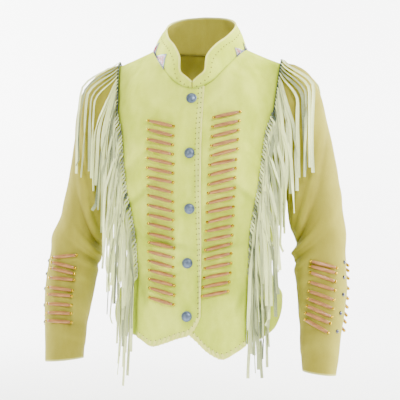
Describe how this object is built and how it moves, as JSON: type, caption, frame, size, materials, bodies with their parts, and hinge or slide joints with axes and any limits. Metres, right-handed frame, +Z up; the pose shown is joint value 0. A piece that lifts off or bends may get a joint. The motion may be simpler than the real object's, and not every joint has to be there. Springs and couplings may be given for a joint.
{
  "type": "jacket",
  "caption": "Waist-length suede jacket, filled out as worn, with a stand-up collar, snap front, pointed hem, long fringe from yoke to hem and rows of hair-pipe beads.",
  "frame": {"origin": "midway between the two shoulder points, level with them, on the seam between fronts and back", "axes": "+Z up, -Y towards the fronts, +X to the wearer's left"},
  "size_m": [0.6612, 0.2501, 0.7736],
  "materials": {
    "suede": "matt napped suede",
    "suede_shade": "matt napped suede",
    "fringe": "matt napped suede",
    "hair_pipe": "polished bone",
    "snap_metal": "dark pewter"
  },
  "bodies": {
    "root": {"front_right": "suede", "front_left": "suede", "side_right": "suede_shade", "side_left": "suede_shade", "back": "suede_shade", "collar": "suede", "sleeve_right": "suede", "sleeve_left": "suede", "fringe_right": "fringe", "fringe_left": "fringe", "snap_1": "snap_metal", "snap_2": "snap_metal", "snap_3": "snap_metal", "snap_4": "snap_metal", "snap_5": "snap_metal", "pipe_right_1": "hair_pipe", "pipe_right_2": "hair_pipe", "pipe_right_3": "hair_pipe", "pipe_right_4": "hair_pipe", "pipe_right_5": "hair_pipe", "pipe_right_6": "hair_pipe", "pipe_right_7": "hair_pipe", "pipe_right_8": "hair_pipe", "pipe_right_9": "hair_pipe", "pipe_right_10": "hair_pipe", "pipe_right_11": "hair_pipe", "pipe_right_12": "hair_pipe", "pipe_right_13": "hair_pipe", "pipe_right_14": "hair_pipe", "pipe_right_15": "hair_pipe", "pipe_right_16": "hair_pipe", "pipe_right_17": "hair_pipe", "pipe_right_18": "hair_pipe", "pipe_right_19": "hair_pipe", "pipe_right_20": "hair_pipe", "pipe_left_1": "hair_pipe", "pipe_left_2": "hair_pipe", "pipe_left_3": "hair_pipe", "pipe_left_4": "hair_pipe", "pipe_left_5": "hair_pipe", "pipe_left_6": "hair_pipe", "pipe_left_7": "hair_pipe", "pipe_left_8": "hair_pipe", "pipe_left_9": "hair_pipe", "pipe_left_10": "hair_pipe", "pipe_left_11": "hair_pipe", "pipe_left_12": "hair_pipe", "pipe_left_13": "hair_pipe", "pipe_left_14": "hair_pipe", "pipe_left_15": "hair_pipe", "pipe_left_16": "hair_pipe", "pipe_left_17": "hair_pipe", "pipe_left_18": "hair_pipe", "pipe_left_19": "hair_pipe", "pipe_left_20": "hair_pipe"}
  },
  "joints": []
}
